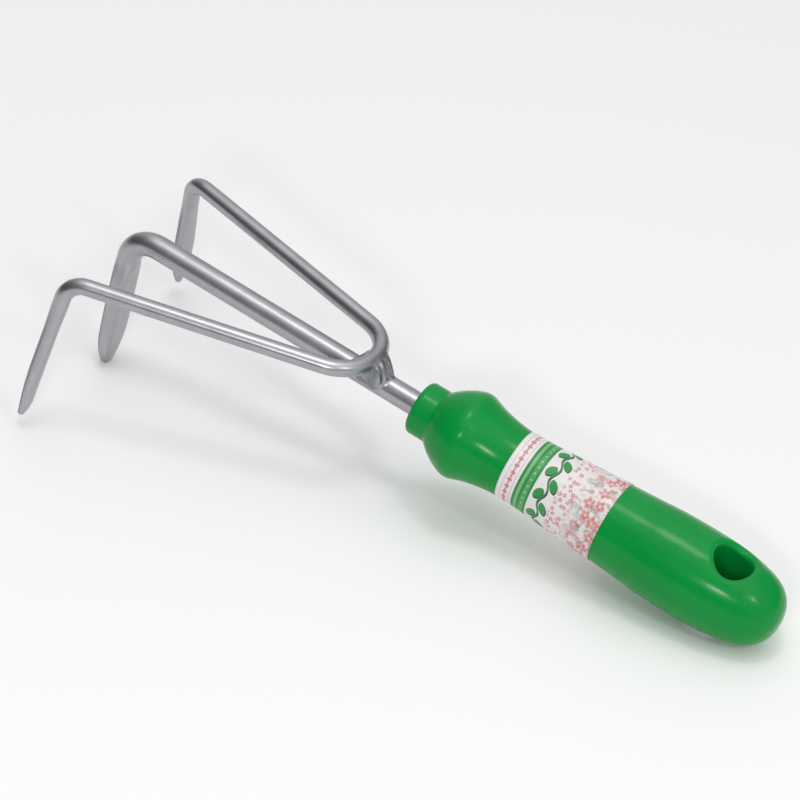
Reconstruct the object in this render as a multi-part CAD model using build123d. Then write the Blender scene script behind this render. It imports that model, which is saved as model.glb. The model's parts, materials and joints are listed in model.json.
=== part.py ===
from build123d import *
from math import asin, atan2, copysign, cos, hypot, radians, sin, tan
import os

# Three-tined hand cultivator, in millimetres. Two bent steel bars are welded together, and a plastic handle
# is moulded on to the tang of the thicker bar.
#
# Everything is drawn in the tool's own frame first: X along the shank from the tines (-X) to the end of the
# handle (+X), Z up, and the origin on the shank's axis at the handle's front face. The tool is symmetric
# about Y = 0. It is then laid down as it lies on a table, on the centre tine's tip and the handle's
# underside.

# Centre bar: shank, bend and centre tine
SHANK_DIAMETER = 8.0
SHANK_REACH = 110.2  # handle's front face to the bend's sharp corner
CENTRE_BEND_RADIUS = 9.5  # on the bar's centreline, as are the other bend radii
CENTRE_TIP_X = -108.6
CENTRE_TIP_Z = -54.8
TANG_LENGTH = 84.0  # the part of the bar that is inside the handle
TANG_CHAMFER = 1.2
EAR_CENTRE_X = 66.0  # swaged ears that stop the handle from turning on the tang
EAR_LENGTH = 16.0
EAR_SPAN = 12.0
EAR_THICKNESS = 3.2
EAR_TAPER = 4.0

# Side bar: one bar bent to a bow with a tine at each end
BOW_DIAMETER = 5.5
BOW_APEX_X = -19.0  # centreline of the bow where it crosses the shank
BOW_APEX_RADIUS = 14.9
SIDE_REACH = 111.2
SIDE_CORNER_Y = 36.5
SIDE_CORNER_Z = 0.9
SIDE_BEND_RADIUS = 7.0
SIDE_TIP_X = -111.4
SIDE_TIP_Y = 46.7
SIDE_TIP_Z = -50.2
WELD_GAP = 0.45  # the bow stands a little clear of the shank, and the welds fill the gap
BEND_RUN_OUT = 0.1  # straight bar between a bend and its tine

# Forged tines: full width across the tool and depth along it, then the same at the blunt tip. The tapers
# start at a share of the tine's length, and each has its own start on the sides, the back and the front.
CENTRE_TINE = {
    "bar": SHANK_DIAMETER,
    "forged": (11.4, 5.4),
    "tip": (3.1, 3.0),
    "width_forged_from": 0.21,
    "depth_forged_from": 0.21,
    "side_taper_from": 0.61,
    "back_taper_from": 0.37,
    "front_taper_from": 0.56,
    "taper_power": 2.6,
}
SIDE_TINE = {
    "bar": BOW_DIAMETER,
    "forged": (7.3, 4.7),
    "tip": (2.2, 1.9),
    "width_forged_from": 0.68,
    "depth_forged_from": 0.34,
    "side_taper_from": 0.56,
    "back_taper_from": 0.86,
    "front_taper_from": 0.52,
    "taper_power": 2.0,
}
TINE_STATIONS = 12
BAR_SQUARENESS = 2.0  # a superellipse's exponent: 2 is a circle
FORGED_SQUARENESS = 4.4
SECTION_ARCS = 8

# Welds between the bow and the shank: (distance from the bow's centreline, half width, height over the axis)
WELD_CLEARANCE = 0.1
REAR_WELD = ((WELD_CLEARANCE, 7.6, 8.2), (2.6, 7.1, 7.5), (4.8, 5.6, 5.7), (7.7, 4.15, 4.2))
FRONT_WELD = ((WELD_CLEARANCE, 6.4, 8.0), (3.0, 5.8, 7.4), (6.0, 5.0, 6.0), (9.5, 4.15, 4.2))
WELD_FOOT_Z = 0.6

# Handle, a body of revolution about the shank
COLLAR_RADIUS = 9.0
COLLAR_LENGTH = 7.3
COLLAR_RIM = 1.8
COLLAR_ROOT = 1.2
BULB_FLANK_X = 12.5
BULB_FLANK_RADIUS = 12.9
BULB_X = 18.9
BULB_RADIUS = 15.35
BULB_CREST = 6.0
BULB_BACK_SLOPE = -25.0  # degrees, just behind the crest
WAIST_X = 38.5
WAIST_RADIUS = 11.45
GRIP_X = 53.0
GRIP_RADIUS = 12.2
HEEL_X = 85.0
HEEL_RADIUS = 14.4
SWELL_X = 101.0
SWELL_RADIUS = 15.0
END_SHOULDER_X = 119.0
END_SHOULDER_RADIUS = 13.6
HANDLE_LENGTH = 133.0

HANG_HOLE_X = 112.0
HANG_HOLE_RADIUS = 6.5
HANG_HOLE_RIM = 1.8

LABEL_FRONT_X = 36.2
LABEL_REAR_X = 71.8
LABEL_THICKNESS = 0.15
LABEL_WRAP = 352.0  # degrees; its two ends nearly meet under the handle

BEYOND = 400.0  # larger than the tool, for cutting bodies
STEEPEST_REST = 25.0  # degrees
PITCH_HALVINGS = 12


def forged_section(plane, width, depth, squareness):
    """Arcs through points of a superellipse: the sides are slightly crowned and the corners round."""

    def outline_point(step):
        turn = radians(360 * step / SECTION_ARCS)
        across, along = cos(turn), sin(turn)
        power = 2 / squareness
        x = copysign(abs(across) ** power, across) * width / 2
        y = copysign(abs(along) ** power, along) * depth / 2
        return plane.from_local_coords(Vector(x, y, 0))

    arcs = []
    for step in range(SECTION_ARCS):
        start, end = outline_point(step - 0.5), outline_point(step + 0.5)
        arcs.append(Edge.make_three_point_arc(start, outline_point(step), end))
    return Face(Wire(arcs))


def bar(path, diameter):
    """A round bar along a path."""
    start = Plane(origin=path @ 0, z_dir=path % 0)
    return sweep(start * Circle(diameter / 2), path=path)


def eased(share, end):
    """0 at the start and 1 from the end on, without a corner."""
    reached = min(share / end, 1.0)
    return reached * reached * (3 - 2 * reached)


def tine(root, tip, across, form):
    """A forged tine: the round bar flattens, then tapers to a blunt tip."""
    along = tip - root
    forward = along.cross(across).normalized()
    sections = []
    for station in range(TINE_STATIONS + 1):
        share = station / TINE_STATIONS
        widened = eased(share, form["width_forged_from"])
        forged = eased(share, form["depth_forged_from"])

        def size(axis, reached, taper_from):
            full, tip_size = form["forged"][axis], form["tip"][axis]
            taper = max((share - taper_from) / (1 - taper_from), 0.0) ** form["taper_power"]
            return form["bar"] + (full - form["bar"]) * reached - (full - tip_size) * taper

        width = size(0, widened, form["side_taper_from"])
        back = size(1, forged, form["back_taper_from"]) / 2
        front = size(1, forged, form["front_taper_from"]) / 2
        squareness = BAR_SQUARENESS + (FORGED_SQUARENESS - BAR_SQUARENESS) * forged
        centre = root + along * share + forward * (front - back) / 2
        plane = Plane(origin=centre, x_dir=across, z_dir=along)
        sections.append(forged_section(plane, width, front + back, squareness))
    return loft(sections)


def tine_root(corner, tip, before, radius):
    """The point just past the bend, where the tine starts."""
    down = (tip - corner).normalized()
    back = (before - corner).normalized()
    half_turn = radians(180 - down.get_angle(back)) / 2
    return corner + down * (radius * tan(half_turn) + BEND_RUN_OUT)


def centre_bar():
    """Tang, shank, bend and centre tine in one piece of steel."""
    tang_end = Vector(TANG_LENGTH, 0, 0)
    corner = Vector(-SHANK_REACH, 0, 0)
    tip = Vector(CENTRE_TIP_X, 0, CENTRE_TIP_Z)
    root = tine_root(corner, tip, tang_end, CENTRE_BEND_RADIUS)
    rod = bar(FilletPolyline(tang_end, corner, root, radius=CENTRE_BEND_RADIUS), SHANK_DIAMETER)
    rod = chamfer(rod.edges().sort_by(Axis.X)[-1], TANG_CHAMFER)
    flat = EAR_LENGTH / 2 - EAR_TAPER
    ears = Polygon(
        (-EAR_LENGTH / 2, 0),
        (-flat, -EAR_SPAN / 2),
        (flat, -EAR_SPAN / 2),
        (EAR_LENGTH / 2, 0),
        (flat, EAR_SPAN / 2),
        (-flat, EAR_SPAN / 2),
    )
    ears = Pos(EAR_CENTRE_X, 0, 0) * extrude(ears, EAR_THICKNESS / 2, both=True)
    return rod + ears + tine(root, tip, Vector(0, 1, 0), CENTRE_TINE)


def side_bow():
    """The thinner bar: tine, bend, arm, apex over the shank, and the same again on the other side."""
    apex_z = SHANK_DIAMETER / 2 + BOW_DIAMETER / 2 + WELD_GAP
    arm_run = SIDE_REACH + BOW_APEX_X
    slope = (SIDE_CORNER_Z - apex_z) / arm_run
    # The arms are tangent to the apex arc, so the sharp corner where they would meet lies behind it.
    centre_run = arm_run - BOW_APEX_RADIUS
    tangent_turn = asin(BOW_APEX_RADIUS / hypot(centre_run, SIDE_CORNER_Y))
    arm_angle = atan2(SIDE_CORNER_Y, centre_run) - tangent_turn
    behind = BOW_APEX_RADIUS * (1 / sin(arm_angle) - 1)
    sharp = Vector(BOW_APEX_X + behind, 0, apex_z - slope * behind)
    corners = [Vector(-SIDE_REACH, side * SIDE_CORNER_Y, SIDE_CORNER_Z) for side in (-1, 1)]
    tips = [Vector(SIDE_TIP_X, side * SIDE_TIP_Y, SIDE_TIP_Z) for side in (-1, 1)]
    roots = [tine_root(corner, tip, sharp, SIDE_BEND_RADIUS) for corner, tip in zip(corners, tips)]
    path = FilletPolyline(
        roots[0],
        corners[0],
        sharp,
        corners[1],
        roots[1],
        radius=[SIDE_BEND_RADIUS, BOW_APEX_RADIUS, SIDE_BEND_RADIUS],
    )
    bow = bar(path, BOW_DIAMETER)
    for root, corner, tip in zip(roots, corners, tips):
        across = (sharp - corner).cross(tip - corner)
        bow += tine(root, tip, across, SIDE_TINE)
    return bow


def weld(stations, direction, steel):
    """Weld metal in the corner between bow and shank, fading out along the shank."""
    sections = []
    for distance, half_width, height in stations:
        origin = (BOW_APEX_X + direction * distance, 0, 0)
        plane = Plane(origin=origin, x_dir=(0, 1, 0), z_dir=(1, 0, 0))
        sections.append(plane * Ellipse(half_width, height))
    foot = Pos(BOW_APEX_X, 0, WELD_FOOT_Z + BEYOND / 2) * Box(BEYOND, BEYOND, BEYOND)
    return (loft(sections) & foot) - steel


def handle_outline():
    """Half of the handle's lengthwise section, closed along the axis."""
    front = Line((0, 0), (0, COLLAR_RADIUS))
    collar = Line(front @ 1, (COLLAR_LENGTH, COLLAR_RADIUS))
    bulb = ThreePointArc(collar @ 1, (BULB_FLANK_X, BULB_FLANK_RADIUS), (BULB_X, BULB_RADIUS))
    back_slope = Vector(cos(radians(BULB_BACK_SLOPE)), sin(radians(BULB_BACK_SLOPE)))
    grip = Spline(
        bulb @ 1,
        (WAIST_X, WAIST_RADIUS),
        (GRIP_X, GRIP_RADIUS),
        (HEEL_X, HEEL_RADIUS),
        (SWELL_X, SWELL_RADIUS),
        tangents=(back_slope, (1, 0)),
    )
    end = Spline(
        grip @ 1,
        (END_SHOULDER_X, END_SHOULDER_RADIUS),
        (HANDLE_LENGTH, 0),
        tangents=((1, 0), (0, -1)),
    )
    axis = Line(end @ 1, (0, 0))
    face = make_face([front, collar, bulb, grip, end, axis])
    for x, radius, size in (
        (0, COLLAR_RADIUS, COLLAR_RIM),
        (COLLAR_LENGTH, COLLAR_RADIUS, COLLAR_ROOT),
        (BULB_X, BULB_RADIUS, BULB_CREST),
    ):
        corner = face.vertices().sort_by_distance((x, radius, 0))[0]
        face = fillet(corner, size)
    return face


def handle(outline, tang):
    """The moulded grip with its hanging hole and the cavity that the tang fills."""
    body = revolve(Plane.XZ * outline, Axis.X)
    body -= Pos(HANG_HOLE_X, 0, 0) * Cylinder(HANG_HOLE_RADIUS, BEYOND)

    def is_rim(edge):
        centre = edge.center(CenterOf.MASS)
        return abs(centre.X - HANG_HOLE_X) < HANG_HOLE_RADIUS < abs(centre.Z)

    body = fillet([edge for edge in body.edges() if is_rim(edge)], HANG_HOLE_RIM)
    return body - tang


def label(outline):
    """A thin film wrapped round the handle."""
    middle = (LABEL_FRONT_X + LABEL_REAR_X) / 2
    window = Pos(middle, BEYOND / 2) * Rectangle(LABEL_REAR_X - LABEL_FRONT_X, BEYOND)
    inside = (outline & window).edges().sort_by(Axis.Y)[-1]
    outside = inside.moved(Pos(0, LABEL_THICKNESS))
    front, rear = [Line(inside @ end, outside @ end) for end in (0, 1)]
    film = revolve(Plane.XZ * make_face([inside, rear, outside, front]), Axis.X, LABEL_WRAP)
    return Rot(-LABEL_WRAP / 2, 0, 0) * film


def build():
    """Every node in the tool's own frame."""
    shank = centre_bar()
    bow = side_bow()
    steel = shank + bow
    outline = handle_outline()
    return {
        "centre_tine_shank": shank,
        "side_tine_bow": bow,
        "rear_weld_fillet": weld(REAR_WELD, 1, steel),
        "front_weld_fillet": weld(FRONT_WELD, -1, steel),
        "handle_grip": handle(outline, shank),
        "label_wrap": label(outline),
    }


def resting_pitch(nodes):
    """The turn about Y, in degrees, that brings the centre tip and the handle down to one level."""
    low, high = 0.0, STEEPEST_REST
    for _ in range(PITCH_HALVINGS):
        pitch = (low + high) / 2
        turn = Rot(0, pitch, 0)
        tip_z = (turn * nodes["centre_tine_shank"]).bounding_box().min.Z
        handle_z = (turn * nodes["handle_grip"]).bounding_box().min.Z
        if tip_z < handle_z:
            low = pitch
        else:
            high = pitch
    return pitch


def resting_place(nodes):
    """The move that lays the tool on the table with the middle of its box over the origin."""
    turn = Rot(0, resting_pitch(nodes), 0)
    box = Compound(children=[turn * node for node in nodes.values()]).bounding_box()
    return Pos(-box.center().X, 0, -box.min.Z) * turn


os.makedirs("parts", exist_ok=True)
nodes = build()
place = resting_place(nodes)
for name, node in nodes.items():
    export_step(place * node, f"parts/{name}.step")
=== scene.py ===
import json
from math import atan2, cos, pi, radians, sin, sqrt

import bmesh
import bpy
import numpy as np
from mathutils import Matrix, Vector, noise


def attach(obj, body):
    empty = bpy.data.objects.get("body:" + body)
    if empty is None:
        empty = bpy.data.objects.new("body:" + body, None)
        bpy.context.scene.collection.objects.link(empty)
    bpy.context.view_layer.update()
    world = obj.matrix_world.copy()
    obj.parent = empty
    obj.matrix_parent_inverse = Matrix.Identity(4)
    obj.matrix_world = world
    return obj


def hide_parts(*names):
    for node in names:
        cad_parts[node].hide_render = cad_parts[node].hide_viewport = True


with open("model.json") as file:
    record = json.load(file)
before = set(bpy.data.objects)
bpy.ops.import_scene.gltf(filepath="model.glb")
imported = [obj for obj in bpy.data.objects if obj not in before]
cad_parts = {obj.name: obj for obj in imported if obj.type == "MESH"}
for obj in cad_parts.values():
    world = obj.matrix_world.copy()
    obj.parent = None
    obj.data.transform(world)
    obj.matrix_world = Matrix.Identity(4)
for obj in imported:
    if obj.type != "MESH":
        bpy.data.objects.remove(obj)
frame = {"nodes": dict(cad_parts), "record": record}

# A hand cultivator on a pale floor: two bent steel bars welded together, and a green plastic handle with a
# printed label. The CAD handle is kept. The bars, welds and label are rebuilt here with finer detail.
#
# Meshes are worked out in the tool's own frame, in millimetres: X runs along the shank from the tines (-X)
# to the handle's end (+X), Z is up, and the origin is on the shank's axis at the handle's front face.
# place() then moves them to the row frame.

MM = 0.001

# Driving dimensions. All but EAR_SIZE are the CAD model's.
SHANK_DIAMETER = 8.0
SHANK_REACH = 110.2
CENTRE_BEND_RADIUS = 9.5
CENTRE_TIP = (-108.6, 0.0, -54.8)
TANG_LENGTH = 84.0
EAR_CENTRE_X = 66.0
EAR_LENGTH = 16.0
EAR_SIZE = (12.0, 6.4)  # width and depth, where the bar is swaged smoothly to an oval inside the handle
BOW_DIAMETER = 5.5
BOW_APEX_X = -19.0
BOW_APEX_Z = 7.2
BOW_APEX_RADIUS = 14.9
SIDE_REACH = 111.2
SIDE_CORNER_Y = 36.5
SIDE_CORNER_Z = 0.9
SIDE_BEND_RADIUS = 7.0
SIDE_TIP = (-111.4, 46.7, -50.2)
HANG_HOLE_X = 112.0
LABEL_FRONT_X = 36.2
LABEL_REAR_X = 71.8

# Tines: (width, depth) as forged and at the tip, and the shares of the tine's length at which its forging
# is complete and its tapers start. A squareness is a superellipse's exponent: 2 is a circle.
BAR_SQUARENESS = 2.0
CENTRE_TINE = {
    "bar": SHANK_DIAMETER,
    "forged": (11.4, 5.4),
    "tip": (3.1, 3.0),
    "width_forged_from": 0.21,
    "depth_forged_from": 0.21,
    "side_taper_from": 0.61,
    "back_taper_from": 0.37,
    "front_taper_from": 0.56,
    "taper_power": 2.6,
    "squareness": 5.0,
}
SIDE_TINE = {
    "bar": BOW_DIAMETER,
    "forged": (7.3, 4.7),
    "tip": (2.2, 1.9),
    "width_forged_from": 0.68,
    "depth_forged_from": 0.34,
    "side_taper_from": 0.56,
    "back_taper_from": 0.86,
    "front_taper_from": 0.52,
    "taper_power": 2.0,
    "squareness": 2.6,
}

# Camera: places in metres, angles in degrees, lens and sensor in millimetres. Azimuth 0 looks along +Y.
CAMERA_TARGET = Vector((-0.01366, 0.00282, 0.03146))
CAMERA_DISTANCE = 1.157
CAMERA_AZIMUTH = 26.19
CAMERA_ELEVATION = 36.74
CAMERA_ROLL = 6.71
CAMERA_LENS = 164.3
CAMERA_SENSOR = 36.0
CAMERA_CLIP_END = 20.0


# ---------------------------------------------------------------- placing

mount = frame["record"]["mounts"][0]
pitch = atan2(mount["axis"][0], mount["axis"][2])
TURN = np.array(Matrix.Rotation(pitch, 3, "Y"))
ORIGIN = np.array(mount["pos_m"]) - TURN @ np.array((HANG_HOLE_X * MM, 0, 0))


def place(points):
    """Points of the tool frame in millimetres, as row-frame metres."""
    return np.asarray(points) * MM @ TURN.T + ORIGIN


def unplace(points):
    """Row-frame metres as points of the tool frame in millimetres."""
    return (np.asarray(points) - ORIGIN) @ TURN / MM


def add_mesh(name, points, faces):
    """A smooth mesh object at the origin, from tool-frame points."""
    mesh = bpy.data.meshes.new(name)
    mesh.from_pydata(place(points).tolist(), [], faces)
    mesh.validate()
    mesh.polygons.foreach_set("use_smooth", [True] * len(mesh.polygons))
    piece = bpy.data.objects.new(name, mesh)
    bpy.context.scene.collection.objects.link(piece)
    return piece


def smoothstep(value):
    """0 up to 0 and 1 from 1 on, without a corner."""
    value = min(max(value, 0.0), 1.0)
    return value * value * (3 - 2 * value)


def towards(azimuth, elevation):
    """A unit vector in the row frame, from degrees; azimuth 0 is +X."""
    a, e = radians(azimuth), radians(elevation)
    return Vector((cos(e) * cos(a), cos(e) * sin(a), sin(e)))


# ---------------------------------------------------------------- node trees written as formulas

# The colour sockets of a Mix node
MIX_SHARE, MIX_BELOW, MIX_ABOVE, MIX_RESULT = 0, 6, 7, 2


class Formula:
    """A float or vector socket that can be used in arithmetic."""

    def __init__(self, tree, socket):
        self.tree = tree
        self.socket = socket

    def node(self, kind, *inputs, **settings):
        """A new node; its inputs are formulas, plain values, or None to leave one alone."""
        made = self.tree.nodes.new(kind)
        for key, value in settings.items():
            setattr(made, key, value)
        for index, value in enumerate(inputs):
            if isinstance(value, Formula):
                self.tree.links.new(value.socket, made.inputs[index])
            elif value is not None:
                made.inputs[index].default_value = value
        return made

    def math(self, operation, *others):
        made = self.node("ShaderNodeMath", self, *others, operation=operation)
        return Formula(self.tree, made.outputs[0])

    def __add__(self, other):
        return self.math("ADD", other)

    def __sub__(self, other):
        return self.math("SUBTRACT", other)

    def __mul__(self, other):
        return self.math("MULTIPLY", other)

    def __truediv__(self, other):
        return self.math("DIVIDE", other)

    def ramp(self, low, high):
        """0 below low, 1 above high, and smooth between; low may be the larger."""
        made = self.node("ShaderNodeMapRange", self, low, high, 0.0, 1.0, interpolation_type="SMOOTHSTEP")
        return Formula(self.tree, made.outputs[0])

    def band(self, low, high, soft):
        """1 between low and high."""
        return self.ramp(low - soft, low + soft) * self.ramp(high + soft, high - soft)

    def repeated(self, period):
        """The distance from the middle of the period that the value is in."""
        return (self / period).math("FRACT") * period - period / 2

    def absolute(self):
        return self.math("ABSOLUTE")


def hypot(a, b):
    return (a * a + b * b).math("SQRT")


class Paint:
    """A material whose colour, roughness and bump are built up in layers."""

    def __init__(self, name, metallic=0.0, ior=1.45, roughness=0.5):
        self.material = bpy.data.materials.new(name)
        self.material.use_nodes = True
        self.tree = self.material.node_tree
        self.shader = self.tree.nodes["Principled BSDF"]
        self.shader.inputs["Metallic"].default_value = metallic
        self.shader.inputs["IOR"].default_value = ior
        self.shader.inputs["Roughness"].default_value = roughness

    def formula(self, socket):
        return Formula(self.tree, socket)

    def node(self, kind, *inputs, **settings):
        return self.formula(None).node(kind, *inputs, **settings)

    def attribute(self, name):
        """A value that shade_bar() stored at each vertex."""
        return self.formula(self.node("ShaderNodeAttribute", attribute_name=name).outputs["Fac"])

    def coordinates(self, scale, output="Object", location=(0, 0, 0), rotation=(0, 0, 0)):
        """Texture coordinates, turned, moved and then scaled."""
        source = self.formula(self.node("ShaderNodeTexCoord").outputs[output])
        turned = self.node("ShaderNodeMapping", source, location, rotation)
        scaled = self.node("ShaderNodeMapping", self.formula(turned.outputs[0]), None, None, scale)
        return self.formula(scaled.outputs[0])

    def noise(self, coordinates, detail=3.0, roughness=0.55, distortion=0.0):
        made = self.node("ShaderNodeTexNoise")
        self.tree.links.new(coordinates.socket, made.inputs["Vector"])
        made.inputs["Scale"].default_value = 1.0
        made.inputs["Detail"].default_value = detail
        made.inputs["Roughness"].default_value = roughness
        made.inputs["Distortion"].default_value = distortion
        return self.formula(made.outputs[0])

    def mix(self, share, below, above):
        """Colour mix by a formula; below and above are colours or formulas."""
        made = self.node("ShaderNodeMix", data_type="RGBA")
        self.tree.links.new(share.socket, made.inputs[MIX_SHARE])
        for index, value in ((MIX_BELOW, below), (MIX_ABOVE, above)):
            if isinstance(value, Formula):
                self.tree.links.new(value.socket, made.inputs[index])
            else:
                made.inputs[index].default_value = (*value, 1.0)
        return self.formula(made.outputs[MIX_RESULT])

    def link(self, value, socket):
        self.tree.links.new(value.socket, self.shader.inputs[socket])

    def bump(self, height, distance, strength):
        """Bump from a height between 0 and 1; the distance is in metres."""
        made = self.node("ShaderNodeBump")
        made.inputs["Strength"].default_value = strength
        made.inputs["Distance"].default_value = distance
        self.tree.links.new(height.socket, made.inputs["Height"])
        self.tree.links.new(made.outputs[0], self.shader.inputs["Normal"])


# Turns and moves object coordinates to the tool frame, still in metres
TO_TOOL = {
    "rotation": (0, -pitch, 0),
    "location": tuple(-(TURN.T @ ORIGIN)),
}


# ---------------------------------------------------------------- materials

DARK_STEEL = (0.385, 0.38, 0.41)
LIGHT_STEEL = (0.435, 0.435, 0.455)
DARK_GROUND_STEEL = (0.39, 0.385, 0.415)
LIGHT_GROUND_STEEL = (0.53, 0.53, 0.55)
# Painted shade: the tines' backs are painted this dark steel colour, standing in for a dark reflection.
TINE_BACK_PAINTED_SHADE = (0.21, 0.205, 0.235)
HEATED_STEEL = (0.33, 0.32, 0.37)
DARK_WELD = (0.22, 0.22, 0.255)
LIGHT_WELD = (0.42, 0.42, 0.44)
DARK_PLASTIC = (0.0, 0.260, 0.040)
LIGHT_PLASTIC = (0.0, 0.290, 0.048)
DARK_FLOOR = (0.94, 0.94, 0.94)
LIGHT_FLOOR = (0.97, 0.97, 0.97)


def steel_paint():
    """Satin drawn steel: streaks along the bar, stronger grinding lines on the forged tines, and painted
    shade on the tines' backs.
    """
    paint = Paint("bar_steel", metallic=1.0)
    streaks = paint.noise(paint.coordinates((5.0, 0.10, 1.0), output="UV"), detail=5.0, roughness=0.6)
    fine = paint.noise(paint.coordinates((16.0, 0.35, 1.0), output="UV"))
    clouds = paint.noise(paint.coordinates((140, 140, 140)), detail=4.0)
    forged = paint.attribute("forged")

    tone = paint.mix(clouds.ramp(0.3, 0.7), DARK_STEEL, LIGHT_STEEL)
    ground = paint.mix(streaks.ramp(0.3, 0.7), DARK_GROUND_STEEL, LIGHT_GROUND_STEEL)
    tone = paint.mix(forged * 0.7, tone, ground)
    # Painted shade: darkens the tines' backward-facing surfaces.
    tone = paint.mix(paint.attribute("back") * 0.75, tone, TINE_BACK_PAINTED_SHADE)
    tone = paint.mix(paint.attribute("heat") * 0.4, tone, HEATED_STEEL)
    paint.link(tone, "Base Color")
    paint.link(streaks * 0.14 + 0.20 + clouds * 0.08 + forged * 0.12, "Roughness")
    height = streaks * 0.6 + fine * 0.4
    paint.bump(height * (forged * 0.8 + 0.2), 0.00006, 0.5)
    return paint.material


def weld_paint():
    """Bright weld metal with darker oxide in clouds."""
    paint = Paint("weld_metal", metallic=1.0)
    grain = paint.noise(paint.coordinates((900, 900, 900)), detail=4.0)
    clouds = paint.noise(paint.coordinates((260, 260, 260)))
    paint.link(paint.mix(clouds.ramp(0.35, 0.65), DARK_WELD, LIGHT_WELD), "Base Color")
    paint.link(grain * 0.14 + 0.30, "Roughness")
    paint.bump(grain, 0.00005, 0.5)
    return paint.material


def handle_paint():
    """Glossy moulded plastic with a faint orange peel and fine scuffs along the grip."""
    paint = Paint("handle_plastic", ior=1.46)
    paint.shader.inputs["Specular IOR Level"].default_value = 0.24
    clouds = paint.noise(paint.coordinates((45, 45, 45)))
    peel = paint.noise(paint.coordinates((420, 420, 420)), detail=2.0)
    scuffs = paint.noise(paint.coordinates((60, 900, 900), **TO_TOOL), detail=4.0, roughness=0.7)
    paint.link(paint.mix(clouds.ramp(0.3, 0.7), DARK_PLASTIC, LIGHT_PLASTIC), "Base Color")
    paint.link(scuffs.ramp(0.45, 0.8) * 0.12 + 0.19, "Roughness")
    paint.bump(peel * 0.75 + scuffs * 0.25, 0.00005, 0.35)
    return paint.material


def floor_paint():
    """Pale paper with a fine grain."""
    paint = Paint("floor_paper", roughness=0.85)
    grain = paint.noise(paint.coordinates((700, 700, 700)))
    paint.link(paint.mix(grain, DARK_FLOOR, LIGHT_FLOOR), "Base Color")
    paint.bump(grain, 0.00008, 0.3)
    return paint.material


# ---------------------------------------------------------------- the label's print

# Places on the label are in millimetres: "around" it, and "along" it from its front edge.
PAPER = (0.80, 0.775, 0.765)
REAR_PAPER = (0.80, 0.735, 0.73)
GREY_PAPER = (0.45, 0.42, 0.42)
ROSE = (0.58, 0.20, 0.25)
PALE_ROSE = (0.70, 0.42, 0.44)
BAND_GREEN = (0.010, 0.23, 0.050)
BAND_LIGHT_GREEN = (0.16, 0.50, 0.18)
BAND_MID_GREEN = (0.06, 0.36, 0.09)
DIAMOND_GREEN = (0.30, 0.58, 0.30)
LEAF_GREEN = (0.016, 0.27, 0.055)
LEAF_SHADOW = (0.012, 0.030, 0.014)
SMALL_BLOSSOM = (0.62, 0.22, 0.28)
SMALL_HEART = (0.80, 0.66, 0.60)
WASH_GREEN = (0.27, 0.36, 0.27)
BLUSH = (0.60, 0.30, 0.31)
LIGHT_BLOOM = (0.70, 0.36, 0.36)
DEEP_BLOOM = (0.52, 0.10, 0.13)
BLOOM_HEART = (0.76, 0.58, 0.50)
DARK_FLECK = (0.20, 0.14, 0.13)

BORDER_AT = 3.2
BORDER_PERIOD = 2.7
DIAMONDS_AT = 9.4
DIAMOND_PERIOD = 2.4
VINE_AT = 14.9
VINE_PERIOD = 8.4
VINE_SWAY = 0.7
LEAF_SIZE = (4.6, 2.7)
LEAF_TURN = radians(30)
LEAF_FROM_STEM = 1.7
LEAF_SHIFT = 0.6
SHADOW_OFFSET = (0.38, 0.34)
PETALS = 5


def border_print(paint, colour, around, along):
    """A row of rose lozenges and dots between two thin lines."""
    specks = paint.noise(paint.coordinates((1.6, 1.6, 1.0), output="UV"), detail=2.0)
    lozenges = around.repeated(BORDER_PERIOD).absolute() * 0.9 + (along - BORDER_AT).absolute()
    dots = hypot((around + BORDER_PERIOD / 2).repeated(BORDER_PERIOD), along - BORDER_AT)
    row = lozenges.ramp(1.05, 0.85).math("MAXIMUM", dots.ramp(0.50, 0.32))
    colour = paint.mix(row * specks.ramp(0.2, 0.5), colour, ROSE)
    colour = paint.mix(along.band(1.45, 1.65, 0.06), colour, PALE_ROSE)
    return paint.mix(along.band(4.75, 4.95, 0.06), colour, PALE_ROSE)


def band_print(paint, colour, around, along):
    """A green band with dark edges, and a lighter middle with pale diamonds."""
    colour = paint.mix(along.band(5.8, 11.0, 0.07), colour, BAND_GREEN)
    colour = paint.mix(along.band(6.7, 7.7, 0.10), colour, BAND_LIGHT_GREEN)
    colour = paint.mix(along.band(8.6, 10.2, 0.10), colour, BAND_MID_GREEN)
    diamonds = around.repeated(DIAMOND_PERIOD).absolute() + (along - DIAMONDS_AT).absolute()
    return paint.mix(diamonds.ramp(0.55, 0.40), colour, DIAMOND_GREEN)


def leaf(a, b, turn):
    """Share covered by a pointed leaf at the origin: where two discs overlap."""
    length, width = LEAF_SIZE
    along_leaf = a * cos(turn) + b * sin(turn)
    across_leaf = (b * cos(turn) - a * sin(turn)).absolute()
    radius = (length * length + width * width) / (4 * width)
    return hypot(along_leaf, across_leaf + (radius - width / 2)).ramp(radius + 0.06, radius - 0.06)


def vine(around, along):
    """Share covered by a waving stem with a leaf on each side of it in every period."""
    wave = (around * (2 * pi / VINE_PERIOD)).math("SINE") * VINE_SWAY
    stem = (along - wave - VINE_AT).absolute().ramp(0.34, 0.20)
    covered = stem
    for start, side in ((0.0, -1), (VINE_PERIOD / 2, 1)):
        from_root = (around + start).repeated(VINE_PERIOD) + LEAF_SHIFT
        across = along - (VINE_AT + side * LEAF_FROM_STEM)
        covered = covered.math("MAXIMUM", leaf(from_root, across, side * LEAF_TURN))
    return covered


def vine_print(paint, colour, around, along):
    """The vine over its own dark shadow."""
    shadow = vine(around - SHADOW_OFFSET[0], along - SHADOW_OFFSET[1])
    colour = paint.mix(shadow, colour, LEAF_SHADOW)
    return paint.mix(vine(around, along), colour, LEAF_GREEN)


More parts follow.
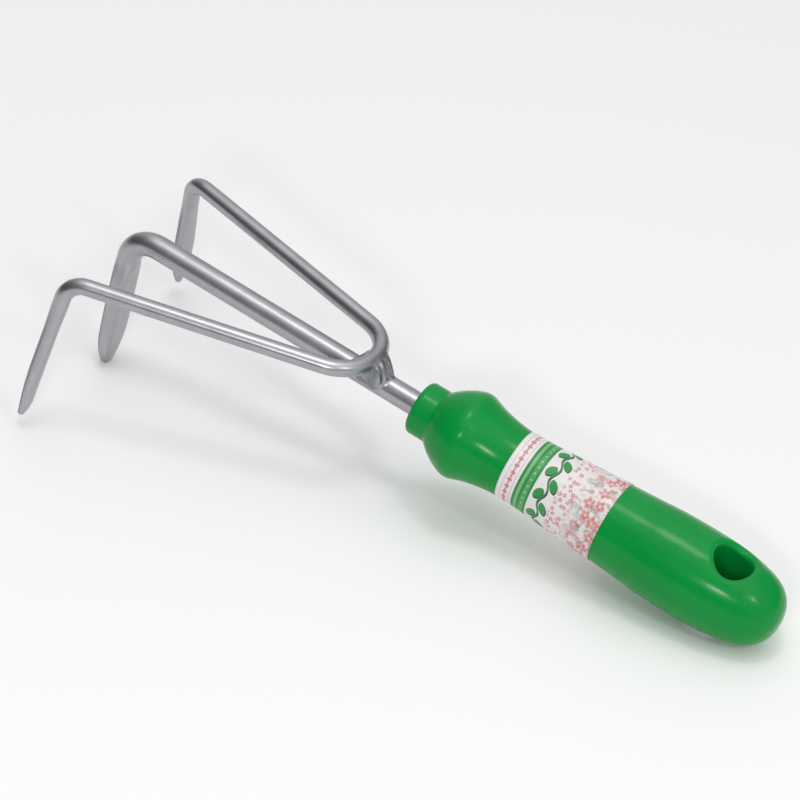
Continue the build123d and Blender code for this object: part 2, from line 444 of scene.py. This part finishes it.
def blossoms(paint, uv, period, size, seed):
    """Five-petalled blossoms, one in each cell of a loose grid.

    Gives the distance from the petals' outline, the distance from the blossom's middle, and the share of
    the cells that have one.
    """
    moved = paint.formula(paint.node("ShaderNodeMapping", uv, (seed, 0, 0)).outputs[0])
    cells = paint.node("ShaderNodeTexVoronoi", voronoi_dimensions="2D")
    paint.tree.links.new(moved.socket, cells.inputs["Vector"])
    cells.inputs["Scale"].default_value = 1 / period
    cells.inputs["Randomness"].default_value = 0.8
    centre = paint.formula(cells.outputs["Position"])
    away = paint.node("ShaderNodeVectorMath", moved, centre, operation="SUBTRACT")
    parts = paint.node("ShaderNodeSeparateXYZ", paint.formula(away.outputs[0]))
    a, b = paint.formula(parts.outputs[0]), paint.formula(parts.outputs[1])
    random = paint.node("ShaderNodeSeparateColor", paint.formula(cells.outputs["Color"]))
    chance = paint.formula(random.outputs[0])
    phase = b.math("ARCTAN2", a) * (PETALS / 2) + chance * 6
    petals = (phase.math("COSINE").absolute() * 0.40 + 0.60) * (chance * 0.4 + 0.6) * size
    return hypot(a, b) - petals, hypot(a, b), chance.ramp(0.15, 0.25)


def blossom_print(paint, colour, uv, along):
    """Small blossoms, then green and rose washes with larger blossoms towards the rear edge."""
    outline, middle, present = blossoms(paint, uv, period=1.75, size=0.92, seed=3.0)
    zone = along.band(18.8, 24.8, 1.0) * present
    colour = paint.mix(outline.ramp(0.12, -0.2) * zone, colour, SMALL_BLOSSOM)
    colour = paint.mix(middle.ramp(0.32, 0.12) * zone, colour, SMALL_HEART)

    wash = paint.noise(paint.coordinates((0.42, 0.30, 1.0), output="UV"), detail=4.0, distortion=0.8)
    colour = paint.mix(wash.ramp(0.50, 0.62) * along.ramp(22.0, 28.0) * 0.85, colour, WASH_GREEN)
    blush = paint.noise(paint.coordinates((0.30, 0.24, 1.0), output="UV", location=(5, 3, 0)))
    colour = paint.mix(blush.ramp(0.48, 0.66) * along.ramp(23.0, 30.0) * 0.7, colour, BLUSH)

    outline, middle, present = blossoms(paint, uv, period=4.4, size=2.7, seed=11.0)
    zone = along.band(26.5, 40.0, 1.0) * present
    tint = paint.noise(paint.coordinates((0.9, 0.9, 1.0), output="UV"))
    bloom = paint.mix(tint.ramp(0.35, 0.7), LIGHT_BLOOM, DEEP_BLOOM)
    colour = paint.mix(outline.ramp(0.25, -0.9) * zone, colour, bloom)
    colour = paint.mix(middle.ramp(0.8, 0.2) * zone, colour, BLOOM_HEART)
    return paint.mix(tint.ramp(0.62, 0.72) * along.ramp(25.0, 32.0) * 0.6, colour, DARK_FLECK)


def label_paint():
    """A printed film: a border, a green band, a vine, and blossoms towards the rear. No lettering."""
    paint = Paint("label_film")
    uv = paint.formula(paint.node("ShaderNodeTexCoord").outputs["UV"])
    split = paint.node("ShaderNodeSeparateXYZ", uv)
    around, along = paint.formula(split.outputs[0]), paint.formula(split.outputs[1])

    colour = paint.mix(along.ramp(14.0, 35.0), PAPER, REAR_PAPER)
    colour = border_print(paint, colour, around, along)
    colour = band_print(paint, colour, around, along)
    colour = vine_print(paint, colour, around, along)
    colour = blossom_print(paint, colour, uv, along)
    grain = paint.noise(paint.coordinates((6.0, 6.0, 1.0), output="UV"), detail=2.0)
    paint.link(paint.mix(grain.ramp(0.2, 0.9) * 0.12, colour, GREY_PAPER), "Base Color")
    paint.link(grain * 0.1 + 0.34, "Roughness")
    ripples = paint.noise(paint.coordinates((0.22, 0.12, 1.0), output="UV"), detail=2.0)
    paint.bump(ripples, 0.0002, 0.25)
    return paint.material


# ---------------------------------------------------------------- bars

STEP = 0.8  # between points along a bar
FEWEST_ARC_STEPS = 16
FINE_STEPS = 6
RING = 64  # vertices around a bar


def route(corners, radii):
    """Points along straight runs joined by tangent arcs, about a step apart."""
    corners = [np.array(corner, float) for corner in corners]
    points = [corners[0]]

    def run_to(end):
        count = max(int(np.linalg.norm(end - points[-1]) / STEP), 1)
        start = points[-1]
        points.extend(start + (end - start) * share for share in np.linspace(0, 1, count + 1)[1:])

    for before, corner, after, radius in zip(corners, corners[1:], corners[2:], radii):
        back = (before - corner) / np.linalg.norm(before - corner)
        on = (after - corner) / np.linalg.norm(after - corner)
        half_turn = (pi - np.arccos(back @ on)) / 2
        reach = radius * np.tan(half_turn)
        run_to(corner + back * reach)
        inward = (back + on) / np.linalg.norm(back + on)
        centre = corner + inward * radius / cos(half_turn)
        start = points[-1] - centre
        forward = -back * radius
        count = max(int(2 * half_turn * radius / STEP), FEWEST_ARC_STEPS)
        for turn in np.linspace(0, 2 * half_turn, count + 1)[1:]:
            points.append(centre + start * cos(turn) + forward * sin(turn))
    run_to(corners[-1])
    return with_fine_ends(np.array(points))


def with_fine_ends(points):
    """Extra points close to both ends, where the tips are rounded."""
    starts = points[0] + (points[1] - points[0]) * np.linspace(0, 1, FINE_STEPS + 1)[:-1, None]
    ends = points[-2] + (points[-1] - points[-2]) * np.linspace(0, 1, FINE_STEPS + 1)[1:, None]
    return np.concatenate([starts, points[1:-1], ends])


def arc_lengths(points):
    """The distance along the points from the first one."""
    return np.concatenate([[0], np.cumsum(np.linalg.norm(np.diff(points, axis=0), axis=1))])


def unit_tangents(points):
    tangents = np.gradient(points, axis=0)
    return tangents / np.linalg.norm(tangents, axis=1)[:, None]


def tine_form(share, form):
    """The section at a share of a tine's length: width, back and front half-depth, squareness, forging."""
    widened = smoothstep(share / form["width_forged_from"])
    forged = smoothstep(share / form["depth_forged_from"])

    def size(axis, reached, taper_from):
        full, tip = form["forged"][axis], form["tip"][axis]
        taper = max((share - taper_from) / (1 - taper_from), 0.0) ** form["taper_power"]
        return form["bar"] + (full - form["bar"]) * reached - (full - tip) * taper

    width = size(0, widened, form["side_taper_from"])
    back = size(1, forged, form["back_taper_from"]) / 2
    front = size(1, forged, form["front_taper_from"]) / 2
    squareness = BAR_SQUARENESS + (form["squareness"] - BAR_SQUARENESS) * forged
    return width, back, front, squareness, forged


def transported(tangents, first):
    """The vector first carried along a route without twist."""
    carried = [first - tangents[0] * (first @ tangents[0])]
    for tangent in tangents[1:]:
        across = carried[-1] - tangent * (carried[-1] @ tangent)
        carried.append(across / np.linalg.norm(across))
    return np.array(carried)


DENT_SCALE = 0.22  # per millimetre
DENT_DEPTH = 0.07
PROUDEST_DENT = 0.02  # how far a dent may stand out of the plain section
ROUND_BAR_DENTS = 0.12  # share of the dents' depth where the bar isn't forged


def bar_vertices(points, across, sizes):
    """Rings of vertices, and each vertex's forging, for sections that sizes(index) gives."""
    vertices, forging = [], []
    for index, (point, tangent, side) in enumerate(zip(points, unit_tangents(points), across)):
        width, back, front, squareness, forged = sizes(index)
        forward = np.cross(tangent, side)
        centre = point + forward * (front - back) / 2
        power = 2 / squareness
        for step in range(RING):
            turn = 2 * pi * step / RING
            a = np.copysign(abs(cos(turn)) ** power, cos(turn)) * width / 2
            b = np.copysign(abs(sin(turn)) ** power, sin(turn)) * (back + front) / 2
            outward = side * a + forward * b
            spot = centre + outward
            outward = outward / np.linalg.norm(outward)
            depth = DENT_DEPTH * (ROUND_BAR_DENTS + (1 - ROUND_BAR_DENTS) * forged)
            dent = noise.noise(Vector(spot * DENT_SCALE)) * depth
            vertices.append(spot + outward * min(dent, PROUDEST_DENT))
            forging.append(forged)
    return np.array(vertices), forging


def bar_faces(rings):
    """Quads between the rings, and a face at each end."""
    faces = []
    for ring in range(rings - 1):
        start, end = ring * RING, (ring + 1) * RING
        for step in range(RING):
            on = (step + 1) % RING
            faces.append((start + step, start + on, end + on, end + step))
    for ring, order in ((0, -1), (rings - 1, 1)):
        faces.append(tuple(range(ring * RING, (ring + 1) * RING))[::order])
    return faces


def unwrap_bar(mesh, lengths):
    """UVs in millimetres: around the bar, and along it."""
    layer = mesh.uv_layers.new(name="UVMap")
    around = pi * SHANK_DIAMETER
    for polygon in mesh.polygons:
        steps = [mesh.loops[loop].vertex_index % RING for loop in polygon.loop_indices]
        wraps = max(steps) - min(steps) > 1
        for loop, step in zip(polygon.loop_indices, steps):
            ring = mesh.loops[loop].vertex_index // RING
            turn = (step + RING if wraps and step == 0 else step) / RING
            layer.data[loop].uv = (turn * around, lengths[ring])


PAINTED_BACK_SHADE_FROM = 0.05  # how far a tine's surface faces backwards where the painted shade on its back begins
PAINTED_BACK_SHADE_FADE = 0.35
HEAT_CENTRE = np.array((BOW_APEX_X, 0, 4.0))
HEAT_REACH = 14.0
HEAT_FADE = 9.0


def shade_bar(mesh, vertices, forging):
    """The attributes that the steel's colour follows: forging, the painted shade on the tines' backs, and
    the weld's heat.
    """
    facing = -(np.array([vertex.normal for vertex in mesh.vertices]) @ TURN)[:, 0]
    painted_shade_backs = [forged * smoothstep((away - PAINTED_BACK_SHADE_FROM) / PAINTED_BACK_SHADE_FADE) for forged, away in zip(forging, facing)]
    distances = np.linalg.norm(vertices - HEAT_CENTRE, axis=1)
    heat = [smoothstep((HEAT_REACH - distance) / HEAT_FADE) for distance in distances]
    # The back attribute is painted shade on the tines' backs.
    for name, values in (("forged", forging), ("back", painted_shade_backs), ("heat", heat)):
        mesh.attributes.new(name, "FLOAT", "POINT").data.foreach_set("value", values)


def bar_piece(name, points, across, sizes):
    """A bar along the points, with its width in the direction of across."""
    vertices, forging = bar_vertices(points, across, sizes)
    piece = add_mesh(name, vertices, bar_faces(len(points)))
    unwrap_bar(piece.data, arc_lengths(points))
    shade_bar(piece.data, vertices, forging)
    piece.data.materials.append(STEEL)
    return piece


TIP_ROUNDING = 0.6  # along the bar
TIP_FACET = 0.84  # share of the section left in the flat end


def tip_share(distance):
    """How much a section shrinks within the rounding of the tip."""
    left = min(distance / TIP_ROUNDING, 1.0)
    return TIP_FACET + (1 - TIP_FACET) * sqrt(1 - (1 - left) ** 2)


STEEL = steel_paint()
CENTRE_LEAN = 0.03  # radians past square that the centre tine is bent
EAR_FADE = 4.0


def centre_bar():
    """The tang with its ears, the shank, and the centre tine."""
    points = route([(TANG_LENGTH, 0, 0), (-SHANK_REACH, 0, 0), CENTRE_TIP], [CENTRE_BEND_RADIUS])
    across = np.tile((0.0, 1.0, 0.0), (len(points), 1))
    lengths = arc_lengths(points)
    root_z = -CENTRE_BEND_RADIUS * cos(CENTRE_LEAN)

    def sizes(index):
        x, _, z = points[index]
        if z < root_z:
            share = (z - root_z) / (CENTRE_TIP[2] - root_z)
            width, back, front, squareness, forged = tine_form(share, CENTRE_TINE)
            shrink = tip_share(lengths[-1] - lengths[index])
            return width * shrink, back * shrink, front * shrink, squareness, forged
        ear = smoothstep((EAR_LENGTH / 2 - abs(x - EAR_CENTRE_X)) / EAR_FADE)
        width = SHANK_DIAMETER + (EAR_SIZE[0] - SHANK_DIAMETER) * ear
        half = (SHANK_DIAMETER + (EAR_SIZE[1] - SHANK_DIAMETER) * ear) / 2
        return width, half, half, BAR_SQUARENESS, 0.0

    return bar_piece("shank_and_centre_tine", points, across, sizes)


def both_sides(point):
    """The point on the near side, -Y, and its mirror image."""
    return [np.array((point[0], side * point[1], point[2])) for side in (-1, 1)]


SIDE_CORNERS = both_sides((-SIDE_REACH, SIDE_CORNER_Y, SIDE_CORNER_Z))
SIDE_TIPS = both_sides(SIDE_TIP)
SIDE_ROOT = 0.9 * SIDE_BEND_RADIUS  # from the corner to where a side tine's forging starts


def bow_apex():
    """The sharp corner that the bow's apex arc rounds off."""
    arm_run = SIDE_REACH + BOW_APEX_X
    slope = (SIDE_CORNER_Z - BOW_APEX_Z) / arm_run
    centre_run = arm_run - BOW_APEX_RADIUS
    away = sqrt(centre_run**2 + SIDE_CORNER_Y**2)
    arm_angle = atan2(SIDE_CORNER_Y, centre_run) - np.arcsin(BOW_APEX_RADIUS / away)
    behind = BOW_APEX_RADIUS * (1 / sin(arm_angle) - 1)
    return np.array((BOW_APEX_X + behind, 0, BOW_APEX_Z - slope * behind))


def bow_route():
    """The bow's centreline, from the near tine's tip to the far one's."""
    (near, far), (near_tip, far_tip) = SIDE_CORNERS, SIDE_TIPS
    radii = [SIDE_BEND_RADIUS, BOW_APEX_RADIUS, SIDE_BEND_RADIUS]
    return route([near_tip, near, bow_apex(), far, far_tip], radii)


def bow_across(points, lengths, tine_length):
    """The direction of the bow's width: square to the plane of the arm and tine, at either tine."""
    sharp = bow_apex()
    normals = [np.cross(corner - sharp, corner - tip) for corner, tip in zip(SIDE_CORNERS, SIDE_TIPS)]
    near, far = [normal / np.linalg.norm(normal) for normal in normals]
    tangents = unit_tangents(points)
    across = transported(tangents, near)
    # Between the tines the bar is round, so the turn that the far tine needs is spread along it.
    twist = atan2(np.cross(across[-1], -far) @ tangents[-1], across[-1] @ -far)
    shares = np.clip((lengths - tine_length) / (lengths[-1] - 2 * tine_length), 0, 1)
    for index, angle in enumerate(twist * shares):
        side = across[index]
        across[index] = side * cos(angle) + np.cross(tangents[index], side) * sin(angle)
    return across


def side_bar():
    """The bow with its two side tines."""
    points = bow_route()
    lengths = arc_lengths(points)
    tine_length = np.linalg.norm(SIDE_TIPS[0] - SIDE_CORNERS[0])
    root = tine_length - SIDE_ROOT

    def sizes(index):
        from_tip = min(lengths[index], lengths[-1] - lengths[index])
        if from_tip >= root:
            return BOW_DIAMETER, BOW_DIAMETER / 2, BOW_DIAMETER / 2, BAR_SQUARENESS, 0.0
        width, back, front, squareness, forged = tine_form(1 - from_tip / root, SIDE_TINE)
        if lengths[index] > lengths[-1] / 2:
            back, front = front, back
        shrink = tip_share(from_tip)
        return width * shrink, back * shrink, front * shrink, squareness, forged

    return bar_piece("bow_and_side_tines", points, bow_across(points, lengths, tine_length), sizes)


# ---------------------------------------------------------------- welds

def surface_net(field, low, step):
    """Vertices and quads of the surface where a sampled field changes sign; it is negative inside."""
    inside = field < 0
    cells = tuple(size - 1 for size in field.shape)
    total = np.zeros(cells + (3,))
    count = np.zeros(cells)
    offsets = [np.array(((n >> 2) & 1, (n >> 1) & 1, n & 1)) for n in range(8)]

    def corner(values, offset):
        return values[tuple(slice(o, o + c) for o, c in zip(offset, cells))]

    for start in offsets:
        for axis in range(3):
            if start[axis]:
                continue
            end = start.copy()
            end[axis] = 1
            a, b = corner(field, start), corner(field, end)
            crossed = (a < 0) != (b < 0)
            share = np.where(crossed, a / np.where(crossed, a - b, 1.0), 0.0)
            for k in range(3):
                reach = start[k] + (share if k == axis else 0.0)
                total[..., k] += np.where(crossed, reach, 0.0)
            count += crossed
    active = count > 0
    number = np.full(cells, -1)
    number[active] = np.arange(active.sum())
    spots = np.argwhere(active) + total[active] / count[active][:, None]
    vertices = low + spots * step
    quads = []
    for axis in range(3):
        one, two = [k for k in range(3) if k != axis]
        a = np.moveaxis(inside, axis, 0)
        flips = np.argwhere(a[1:] != a[:-1])
        for i, j, k in flips:
            if j == 0 or k == 0 or j >= cells[one] or k >= cells[two]:
                continue
            ring = []
            for dj, dk in ((-1, -1), (0, -1), (0, 0), (-1, 0)):
                cell = [0, 0, 0]
                cell[axis], cell[one], cell[two] = i, j + dj, k + dk
                ring.append(int(number[tuple(cell)]))
            outward = bool(a[i, j, k])
            if (axis == 1) == outward:
                ring.reverse()
            quads.append(tuple(ring))
    return vertices, quads


WELD = weld_paint()
WELD_GRID = 0.22
WELD_LOW = np.array((-34.0, -13.0, -1.0))
WELD_HIGH = np.array((-6.0, 13.0, 10.5))
NEARBY = 8.0  # how far in front of the grid the bow still counts
REAR_REACH = 5.6
FRONT_REACH = 3.7
REACH_CHANGE = 7.0  # the length over which the front reach grows to the rear one
REACH_IN_MIDDLE = 1.9  # times the reach; above 1 it stays full for a while beside the middle
REACH_FADE = 5.5  # sideways, for each whole reach that is lost
WELD_REAR_END = 9.0  # from the bow's apex
WELD_FRONT_END = 12.0
WELD_HALF_WIDTH = 10.5
TOE_BLEND = 0.9
WELD_SUNK = 0.06  # how far the mesh lies inside the bars where there is no weld metal
WELD_DEPTH = 0.8
FULL_THICKNESS = 0.9
RIPPLE_SPACING = 2.3
RIPPLE_HEIGHT = 0.17
RIPPLE_SWAY = 0.9  # radians per millimetre along the shank
RELAX_ROUNDS = 3
CUT_TOLERANCE = 1e-7


def bow_distance(points):
    """The distance from the bow's surface, near the weld."""
    route_points = bow_route()
    route_points = route_points[route_points[:, 0] > WELD_LOW[0] - NEARBY]
    nearest = np.full(points.shape[:-1], np.inf)
    for start, end in zip(route_points[:-1], route_points[1:]):
        run = end - start
        share = np.clip(((points - start) @ run) / (run @ run), 0, 1)
        nearest = np.minimum(nearest, np.linalg.norm(points - start - share[..., None] * run, axis=-1))
    return nearest - BOW_DIAMETER / 2


def weld_field(x, y, z):
    """Negative inside the weld metal, which is bevelled across the corner between bow and shank."""
    shank = np.sqrt(y**2 + z**2) - SHANK_DIAMETER / 2
    bow = bow_distance(np.stack([x, y, z], -1))
    bars = np.minimum(shank, bow)
    away = x - BOW_APEX_X
    rearward = np.clip(0.5 + away / REACH_CHANGE, 0, 1)
    reach = FRONT_REACH + (REAR_REACH - FRONT_REACH) * rearward
    reach *= np.clip(REACH_IN_MIDDLE - np.abs(y) / REACH_FADE, 0, 1)
    bevel = (shank + bow - reach) * sqrt(0.5)
    mixing = np.clip(0.5 + 0.5 * (bars - bevel) / TOE_BLEND, 0, 1)
    merged = bars + (bevel - bars) * mixing - TOE_BLEND * mixing * (1 - mixing)
    thickness = np.clip((bars - merged) / FULL_THICKNESS, 0, 1)
    ripple = np.sin(2 * pi * y / RIPPLE_SPACING + np.sin(x * RIPPLE_SWAY))
    merged = merged - RIPPLE_HEIGHT * ripple * thickness**2 + WELD_SUNK
    solid = np.maximum(merged, -(bars + WELD_DEPTH))
    solid = np.maximum(solid, np.abs(away) - np.where(away > 0, WELD_REAR_END, WELD_FRONT_END))
    return np.maximum(solid, np.abs(y) - WELD_HALF_WIDTH)


def weld_pieces():
    """The weld metal behind and in front of the bow's apex, with ripples along each bead."""
    counts = ((WELD_HIGH - WELD_LOW) / WELD_GRID).astype(int)
    axes = [low + WELD_GRID * np.arange(count) for low, count in zip(WELD_LOW, counts)]
    field = weld_field(*np.meshgrid(*axes, indexing="ij"))
    vertices, quads = surface_net(field, WELD_LOW, WELD_GRID)
    vertices = relaxed(vertices, quads)
    return [weld_half("rear_weld", vertices, quads, 1), weld_half("front_weld", vertices, quads, -1)]


def relaxed(vertices, quads):
    """The vertices after a few rounds of moving halfway to the mean of their neighbours."""
    pairs = np.array([(quad[k], quad[k - 1]) for quad in quads for k in range(4)])
    pairs = np.unique(np.sort(pairs, axis=1), axis=0)
    for _ in range(RELAX_ROUNDS):
        total = np.zeros_like(vertices)
        count = np.zeros(len(vertices))
        for one, other in ((0, 1), (1, 0)):
            np.add.at(total, pairs[:, one], vertices[pairs[:, other]])
            np.add.at(count, pairs[:, one], 1)
        vertices = (vertices + total / count[:, None]) / 2
    return vertices


def weld_half(name, vertices, quads, side):
    """The weld metal on one side of the bow's apex, closed where it is cut."""
    piece = add_mesh(name, vertices, quads)
    shape = bmesh.new()
    shape.from_mesh(piece.data)
    everything = shape.verts[:] + shape.edges[:] + shape.faces[:]
    point = Vector(place((BOW_APEX_X, 0, 0)))
    direction = Vector(TURN @ np.array((side, 0, 0)))
    cut = bmesh.ops.bisect_plane(
        shape, geom=everything, dist=CUT_TOLERANCE, plane_co=point, plane_no=direction, clear_inner=True
    )
    rim = [part for part in cut["geom_cut"] if isinstance(part, bmesh.types.BMEdge)]
    bmesh.ops.triangle_fill(shape, use_beauty=True, edges=rim)
    for edge in rim:
        edge.smooth = False
    shape.to_mesh(piece.data)
    shape.free()
    piece.data.materials.append(WELD)
    return piece


# ---------------------------------------------------------------- label

LABEL_ROWS = 80
LABEL_COLUMNS = 300
LABEL_MIDDLE_X = (LABEL_FRONT_X + LABEL_REAR_X) / 2
LABEL_START = -pi - 0.03  # radians; the film starts and ends under the handle
LABEL_LAP = 1.5  # how far its end lies over its start
LAP_HEIGHT = 0.10
LAP_FROM = 0.97  # share of the way round
LAP_RISE = 0.02
FILM_THICKNESS = 0.14
FILM_LIFT = 0.02  # over the CAD film's outer face
WAVE_ALONG = 0.25  # per millimetre
WAVES_AROUND = 2.5
WAVE_HEIGHT = 0.018
PROFILE_DEGREE = 9


def label_radii(stations):
    """Radii of the CAD film's outer face at these places along the handle."""
    film = unplace([vertex.co for vertex in frame["nodes"]["label_wrap"].data.vertices])
    x, r = film[:, 0] - LABEL_MIDDLE_X, np.hypot(film[:, 1], film[:, 2])
    outer = r > np.polyval(np.polyfit(x, r, PROFILE_DEGREE), x)
    outline = np.polyfit(x[outer], r[outer], PROFILE_DEGREE)
    return np.polyval(outline, stations - LABEL_MIDDLE_X)


def label_layer(stations, radii, drop):
    """Vertices and UVs of one face of the film; UVs are in millimetres around and along it."""
    vertices, uvs = [], []
    sweep = 2 * pi + LABEL_LAP / radii[0]
    length_around = sweep * radii.mean()
    for station, radius in zip(stations, radii):
        for share in np.arange(LABEL_COLUMNS + 1) / LABEL_COLUMNS:
            turn = LABEL_START + sweep * share
            across, up = -sin(turn), cos(turn)
            wave = noise.noise(Vector((station * WAVE_ALONG, up * WAVES_AROUND, -across * WAVES_AROUND)))
            lap = LAP_HEIGHT * smoothstep((share - LAP_FROM) / LAP_RISE)
            r = radius + FILM_LIFT + lap + wave * WAVE_HEIGHT - drop
            vertices.append((station, across * r, up * r))
            uvs.append((length_around * share, station - LABEL_FRONT_X))
    return vertices, uvs


def label_faces():
    """Quads of the film's outer face, inner face and four edges."""
    outer, inner = 0, 1
    layer_size = (LABEL_ROWS + 1) * (LABEL_COLUMNS + 1)

    def at(layer, row, column):
        return layer * layer_size + row * (LABEL_COLUMNS + 1) + column

    faces = []
    for row in range(LABEL_ROWS):
        for column in range(LABEL_COLUMNS):
            ring = [(row, column), (row + 1, column), (row + 1, column + 1), (row, column + 1)]
            faces.append([at(outer, *spot) for spot in ring[::-1]])
            faces.append([at(inner, *spot) for spot in ring])
    for row, order in ((0, -1), (LABEL_ROWS, 1)):
        for column in range(LABEL_COLUMNS):
            edge = [(row, column), (row, column + 1)]
            ring = [at(outer, *spot) for spot in edge] + [at(inner, *spot) for spot in edge[::-1]]
            faces.append(ring[::order])
    for column, order in ((0, 1), (LABEL_COLUMNS, -1)):
        for row in range(LABEL_ROWS):
            edge = [(row, column), (row + 1, column)]
            ring = [at(outer, *spot) for spot in edge] + [at(inner, *spot) for spot in edge[::-1]]
            faces.append(ring[::order])
    return faces


def label_piece():
    """A film that follows the handle's surface, with its ends lapped under the handle."""
    stations = np.linspace(LABEL_FRONT_X, LABEL_REAR_X, LABEL_ROWS + 1)
    radii = label_radii(stations)
    outer_vertices, outer_uvs = label_layer(stations, radii, 0.0)
    inner_vertices, inner_uvs = label_layer(stations, radii, FILM_THICKNESS)
    piece = add_mesh("printed_label", outer_vertices + inner_vertices, label_faces())
    mesh = piece.data
    uvs = outer_uvs + inner_uvs
    layer = mesh.uv_layers.new(name="UVMap")
    for loop in mesh.loops:
        layer.data[loop.index].uv = uvs[loop.vertex_index]
    mesh.materials.append(label_paint())
    return piece


# ---------------------------------------------------------------- studio

FLOOR_HALF = 3.0
FLOOR_SQUARES = 12

# Softboxes: name, azimuth and elevation in degrees, distance and size in metres, radiance
SOFTBOXES = (
    ("overhead_softbox", -60, 87, 1.25, (0.28, 0.28), 8.0),
    ("front_key", -72, 32, 1.1, (0.20, 0.09), 36.0),
    ("side_fill", -28, 42, 1.1, (0.12, 0.12), 18.0),
)

# The room's even light, and its glows, one of them dark: azimuth and elevation of the middle in degrees,
# the cosines of the angles from the middle at which the glow begins and is full, and strength
ROOM_LIGHT = 0.19
ROOM_GLOWS = (
    (0, 90, 0.20, 0.68, 0.22),
    (0, 90, 0.70, 0.95, 0.88),
    (-20, 22, 0.62, 1.0, 0.50),
    (120, 20, 0.62, 1.0, 0.42),
    (-150, 40, 0.60, 1.0, -0.16),
)


def floor():
    """A pale square floor at the height that the tool rests on."""
    edge = np.linspace(-FLOOR_HALF, FLOOR_HALF, FLOOR_SQUARES + 1)
    vertices = [(x, y, 0.0) for x in edge for y in edge]
    column = FLOOR_SQUARES + 1
    corners = [i * column + j for i in range(FLOOR_SQUARES) for j in range(FLOOR_SQUARES)]
    mesh = bpy.data.meshes.new("studio_floor")
    mesh.from_pydata(vertices, [], [(k, k + column, k + column + 1, k + 1) for k in corners])
    mesh.materials.append(floor_paint())
    made = bpy.data.objects.new("studio_floor", mesh)
    bpy.context.scene.collection.objects.link(made)


def softbox(name, azimuth, elevation, distance, size, radiance):
    """A rectangular light in the given direction from the tool, facing it."""
    light = bpy.data.lights.new(name, "AREA")
    light.shape = "RECTANGLE"
    light.size, light.size_y = size
    light.energy = radiance * pi * size[0] * size[1]
    lamp = bpy.data.objects.new(name, light)
    bpy.context.scene.collection.objects.link(lamp)
    direction = towards(azimuth, elevation)
    lamp.location = direction * distance
    lamp.rotation_euler = direction.to_track_quat("Z", "Y").to_euler()


def room():
    """A white room, lighter overhead and with soft glows at its sides."""
    world = bpy.data.worlds.new("studio_room")
    bpy.context.scene.world = world
    world.use_nodes = True
    tree = world.node_tree
    background = tree.nodes["Background"]
    background.inputs["Color"].default_value = (1.0, 1.0, 1.0, 1.0)
    direction = Formula(tree, tree.nodes.new("ShaderNodeTexCoord").outputs["Generated"])

    def glow(azimuth, elevation, low, high, strength):
        axis = towards(azimuth, elevation)
        cosine = direction.node("ShaderNodeVectorMath", direction, axis, operation="DOT_PRODUCT")
        return Formula(tree, cosine.outputs["Value"]).ramp(low, high) * strength

    first, *others = [glow(*settings) for settings in ROOM_GLOWS]
    level = sum(others, first) + ROOM_LIGHT
    tree.links.new(level.socket, background.inputs["Strength"])


def camera():
    """A camera that looks along the azimuth and down by the elevation, with a little roll."""
    roll = radians(CAMERA_ROLL)
    view = towards(CAMERA_AZIMUTH + 90, -CAMERA_ELEVATION)
    level = view.cross(Vector((0, 0, 1))).normalized()
    up = level.cross(view)
    right = level * cos(roll) + up * sin(roll)
    up = right.cross(view)
    data = bpy.data.cameras.new("camera")
    data.lens = CAMERA_LENS
    data.sensor_width = CAMERA_SENSOR
    data.clip_end = CAMERA_CLIP_END
    made = bpy.data.objects.new("camera", data)
    bpy.context.scene.collection.objects.link(made)
    turn = Matrix((right, up, -view)).transposed().to_4x4()
    made.matrix_world = Matrix.Translation(CAMERA_TARGET - view * CAMERA_DISTANCE) @ turn
    bpy.context.scene.camera = made


# ---------------------------------------------------------------- build

for spare in ("Cube", "Light", "Camera"):
    if spare in bpy.data.objects:
        bpy.data.objects.remove(bpy.data.objects[spare])
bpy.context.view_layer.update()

bpy.context.scene.view_settings.view_transform = "Standard"

shank = centre_bar()
bow = side_bar()
rear_weld, front_weld = weld_pieces()
label = label_piece()
for piece, node, slot in (
    (shank, "centre_tine_shank", "bar_steel"),
    (bow, "side_tine_bow", "bar_steel"),
    (rear_weld, "rear_weld_fillet", "weld_metal"),
    (front_weld, "front_weld_fillet", "weld_metal"),
    (label, "label_wrap", "label_film"),
):
    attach(piece, "root")
    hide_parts(node)

grip = frame["nodes"]["handle_grip"]
grip.data.materials.clear()
grip.data.materials.append(handle_paint())

floor()
for settings in SOFTBOXES:
    softbox(*settings)
room()
camera()
